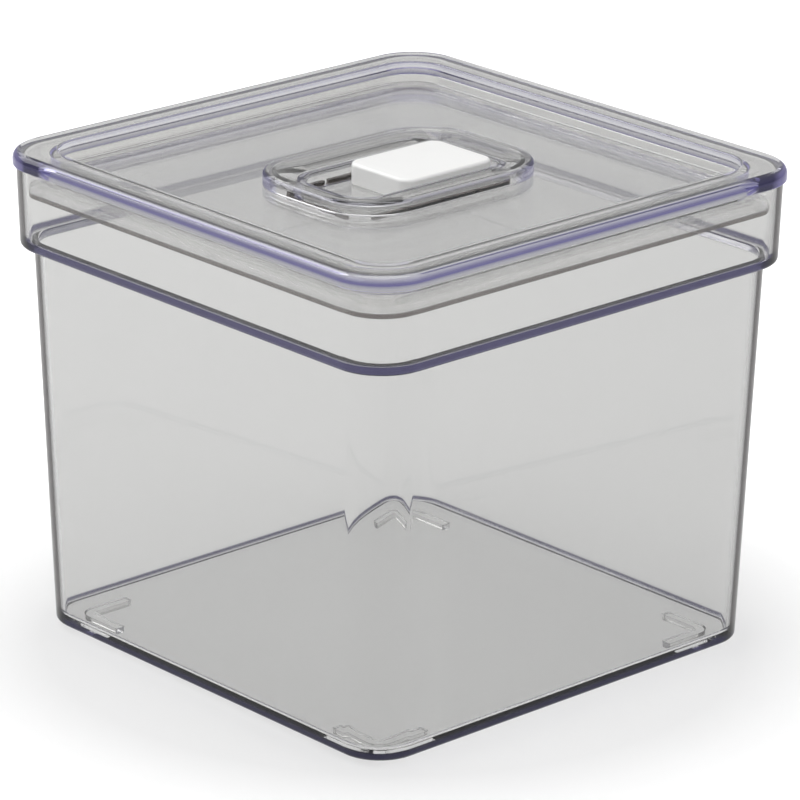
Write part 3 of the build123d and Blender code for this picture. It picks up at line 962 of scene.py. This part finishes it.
# Low glow near the object: its real shadow shows, and a ring of painted shade round it too.
ring = add(tree, "ShaderNodeMapRange", From_Min=ring_start_m, From_Max=ring_end_m)
ring.inputs["To Min"].default_value = near_glow_with_painted_shade
ring.inputs["To Max"].default_value = glow_far
link(tree, far.outputs["Value"], ring.inputs["Value"])
path = add(tree, "ShaderNodeLightPath")
seen = add(tree, "ShaderNodeMath", operation="MULTIPLY")
link(tree, path.outputs["Is Camera Ray"], seen.inputs[0])
link(tree, ring.outputs["Result"], seen.inputs[1])
in_plastic = add(tree, "ShaderNodeMath", operation="MAXIMUM")
link(tree, path.outputs["Is Glossy Ray"], in_plastic.inputs[0])
link(tree, path.outputs["Is Transmission Ray"], in_plastic.inputs[1])
strength = add(tree, "ShaderNodeMath", operation="MULTIPLY_ADD")
link(tree, in_plastic.outputs[0], strength.inputs[0])
strength.inputs[1].default_value = glow_in_plastic
link(tree, seen.outputs[0], strength.inputs[2])
glow = add(tree, "ShaderNodeEmission", Color=(1, 1, 1, 1))
link(tree, strength.outputs[0], glow.inputs["Strength"])
both = add(tree, "ShaderNodeAddShader")
link(tree, matt.outputs[0], both.inputs[0])
link(tree, glow.outputs[0], both.inputs[1])
link(tree, both.outputs[0], tree.nodes["Material Output"].inputs["Surface"])
floor_mesh.materials.append(paper)

# %% [markdown]
# The world
#
# Behind everything the camera sees plain white. For all other rays the room is grey, darker
# towards the ground than overhead, because clear plastic is drawn by what it reflects: in a
# room that was white all round, its edges would vanish.

# %% The world
low_grey, high_grey, low_slope, high_slope = 0.3, 0.75, -0.2, 0.8
studio = bpy.data.worlds.new("studio")
bpy.context.scene.world = studio
studio.use_nodes = True
tree = studio.node_tree
tree.nodes.clear()
place = add(tree, "ShaderNodeTexCoord")
parts = add(tree, "ShaderNodeSeparateXYZ")
link(tree, place.outputs["Generated"], parts.inputs[0])
grade = add(tree, "ShaderNodeMapRange", From_Min=low_slope, From_Max=high_slope)
grade.inputs["To Min"].default_value = low_grey
grade.inputs["To Max"].default_value = high_grey
link(tree, parts.outputs["Z"], grade.inputs["Value"])
sky = add(tree, "ShaderNodeBackground")
link(tree, grade.outputs["Result"], sky.inputs["Color"])
white_sky = add(tree, "ShaderNodeBackground", Color=(1, 1, 1, 1))
path = add(tree, "ShaderNodeLightPath")
choose = add(tree, "ShaderNodeMixShader")
link(tree, path.outputs["Is Camera Ray"], choose.inputs[0])
link(tree, sky.outputs[0], choose.inputs[1])
link(tree, white_sky.outputs[0], choose.inputs[2])
link(tree, choose.outputs[0], add(tree, "ShaderNodeOutputWorld").inputs["Surface"])
print("world: white to the camera, grey", low_grey, "to", high_grey, "to the object")

# %% [markdown]
# The lamps
#
# Large soft lamps suit a clear object, because each of them appears in the plastic as a broad
# pale shape. One hangs overhead, one stands at each near side, and one stands behind the
# object. The rear lamp is the one that the near rim's round reflects as a white band.

# %% The lamps
lit_point = Vector((0, 0, 0.07))


def soft_lamp(name, place, size, power):
    """A rectangular area lamp that faces the object: place and size in metres, power in watts."""
    data = bpy.data.lights.new(name, "AREA")
    data.shape = "RECTANGLE"
    data.size, data.size_y = size
    data.energy = power
    made = bpy.data.objects.new(name, data)
    bpy.context.scene.collection.objects.link(made)
    made.location = place
    made.rotation_euler = (lit_point - Vector(place)).to_track_quat("-Z", "Y").to_euler()
    print(f"{name} lamp: {power} W")


soft_lamp("top", (0.0, 0.0, 1.6), (1.2, 1.2), 6.0)
soft_lamp("left", (-1.6, 0.2, 1.0), (1.0, 1.2), 3.0)
soft_lamp("right", (0.6, -1.7, 0.9), (1.0, 1.2), 2.0)
soft_lamp("rear", (-0.35, 1.05, 1.0), (0.9, 0.9), 7.0)

# %% [markdown]
# The camera
#
# The camera was fitted to the photo's straight edges: it stands far away with a long lens,
# 42 degrees round from the front and 20 degrees up, and leans half a degree. Its direction
# and its right hand are worked out from the two angles, in millimetres like the pieces. The
# three axes then become the columns of its matrix.

# %% The camera
azimuth, elevation, roll = math.radians(-42.409), math.radians(19.835), math.radians(0.534)
pivot, to_right, down, distance = Vector((0, 0, 72)), 0.930, 2.242, 1374.557
sensor_mm, focal_mm, farthest_m = 36.0, 221.4, 20

level = math.cos(elevation)
back = Vector((math.sin(azimuth) * level, -math.cos(azimuth) * level, math.sin(elevation)))
right = Vector((math.cos(azimuth), math.sin(azimuth), 0))
upward = back.cross(right)
eye = pivot + right * to_right - upward * down + back * distance
rolled_right = right * math.cos(roll) + upward * math.sin(roll)
rolled_up = upward * math.cos(roll) - right * math.sin(roll)
lens = bpy.data.cameras.new("camera")
lens.sensor_width = sensor_mm
lens.lens = focal_mm
lens.clip_end = farthest_m
camera = bpy.data.objects.new("camera", lens)
bpy.context.scene.collection.objects.link(camera)
turned_view = Matrix((rolled_right, rolled_up, back)).transposed().to_4x4()
camera.matrix_world = Matrix.Translation(eye * mm) @ turned_view
bpy.context.scene.camera = camera
bpy.context.scene.view_settings.view_transform = "Standard"
print(f"camera: {eye.length:.0f} mm from the middle of the feet")
